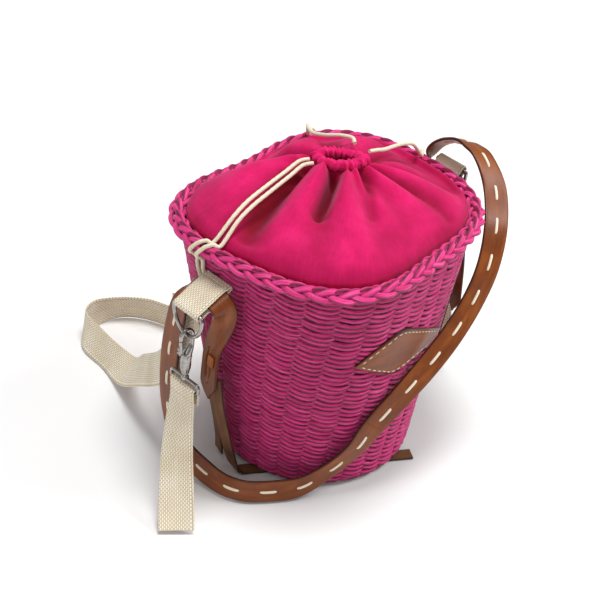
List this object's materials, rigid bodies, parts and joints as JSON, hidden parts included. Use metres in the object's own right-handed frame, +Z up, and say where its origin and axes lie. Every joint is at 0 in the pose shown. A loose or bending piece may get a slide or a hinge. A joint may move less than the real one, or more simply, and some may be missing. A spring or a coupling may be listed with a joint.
{
  "type": "bucket bag",
  "caption": "Woven straw bucket bag with a gathered cotton drawstring collar, a stitched leather swing handle, webbing loops with rings and snap hooks, and a webbing crossbody strap.",
  "frame": {"origin": "middle of the basket's flat underside, on the table", "axes": "+Z up along the basket; the webbing loops lie along X; -Y is the front, where the leaf-shaped patch is"},
  "size_m": [0.3673, 0.3593, 0.2772],
  "materials": {
    "pink_straw": "matte twined paper straw",
    "pink_cotton": "matte plain-weave cotton",
    "cream_cord": "matte braided cotton cord",
    "tan_leather": "smooth vegetable-tanned grain",
    "flesh_side_leather": "matte flesh side",
    "cream_webbing": "matte cotton webbing",
    "polished_nickel": "polished nickel plate"
  },
  "bodies": {
    "bag": {"basket_body": "pink_straw", "rim_braid": "pink_straw", "lining_bag": "pink_cotton", "drawstring_collar": "pink_cotton", "drawstring_channel": "pink_cotton", "cord_left_front": "cream_cord", "cord_left_rear": "cream_cord", "cord_right": "cream_cord", "cord_rear": "cream_cord", "cord_knot_left": "cream_cord", "cord_knot_right": "cream_cord", "leaf_patch": "tan_leather", "webbing_loop_left": "cream_webbing", "webbing_loop_right": "cream_webbing", "strap_tab_left": "tan_leather", "strap_tab_right": "tan_leather", "tab_tongue_left": "tan_leather", "tab_tongue_right": "tan_leather", "side_tail_left": "flesh_side_leather", "long_tail_left": "flesh_side_leather", "side_tail_right": "flesh_side_leather", "crossbody_strap": "cream_webbing"},
    "handle": {"handle_strap": "tan_leather"},
    "left_ring": {"d_ring_left": "polished_nickel"},
    "left_hook": {"snap_hook_left": "polished_nickel", "gate_pin_left": "polished_nickel"},
    "left_gate": {"hook_gate_left": "polished_nickel"},
    "left_eye": {"swivel_eye_left": "polished_nickel"},
    "left_tail": {"webbing_tail_left": "cream_webbing"},
    "right_ring": {"d_ring_right": "polished_nickel"},
    "right_hook": {"snap_hook_right": "polished_nickel", "gate_pin_right": "polished_nickel"},
    "right_gate": {"hook_gate_right": "polished_nickel"},
    "right_eye": {"swivel_eye_right": "polished_nickel"},
    "right_tail": {"webbing_tail_right": "cream_webbing"}
  },
  "joints": [
    {"name": "handle_swing", "type": "hinge", "parent": "bag", "child": "handle", "pos_m": [-0.1355, 0, 0.1975], "axis": [-0.9969, 0, -0.0788], "range_deg": [0, 150]},
    {"name": "left_ring_swing", "type": "hinge", "parent": "bag", "child": "left_ring", "pos_m": [-0.15332, 0, 0.18843], "axis": [0, 1, 0], "range_deg": [0, 35]},
    {"name": "left_hook_swing", "type": "hinge", "parent": "left_ring", "child": "left_hook", "pos_m": [-0.15332, 0, 0.16393], "axis": [0, 1, 0], "range_deg": [0, 12]},
    {"name": "left_gate_press", "type": "hinge", "parent": "left_hook", "child": "left_gate", "pos_m": [-0.15932, 0, 0.14673], "axis": [0, 1, 0], "range_deg": [0, 25], "stiffness_Nm_per_rad": 0.004},
    {"name": "left_swivel", "type": "hinge", "parent": "left_hook", "child": "left_eye", "pos_m": [-0.15332, 0, 0.12543], "axis": [0, 0, 1], "range_deg": [-15, 15]},
    {"name": "left_tail_swing", "type": "hinge", "parent": "left_eye", "child": "left_tail", "pos_m": [-0.15332, 0, 0.11343], "axis": [0, 1, 0], "range_deg": [0, 15]},
    {"name": "right_ring_swing", "type": "hinge", "parent": "bag", "child": "right_ring", "pos_m": [0.14477, 0, 0.22717], "axis": [0, -1, 0], "range_deg": [0, 35]},
    {"name": "right_hook_swing", "type": "hinge", "parent": "right_ring", "child": "right_hook", "pos_m": [0.14477, 0, 0.20267], "axis": [0, -1, 0], "range_deg": [0, 12]},
    {"name": "right_gate_press", "type": "hinge", "parent": "right_hook", "child": "right_gate", "pos_m": [0.15077, 0, 0.18547], "axis": [0, -1, 0], "range_deg": [0, 25], "stiffness_Nm_per_rad": 0.004},
    {"name": "right_swivel", "type": "hinge", "parent": "right_hook", "child": "right_eye", "pos_m": [0.14477, 0, 0.16417], "axis": [0, 0, 1], "range_deg": [-15, 15]},
    {"name": "right_tail_swing", "type": "hinge", "parent": "right_eye", "child": "right_tail", "pos_m": [0.14477, 0, 0.15217], "axis": [0, -1, 0], "range_deg": [0, 15]}
  ]
}
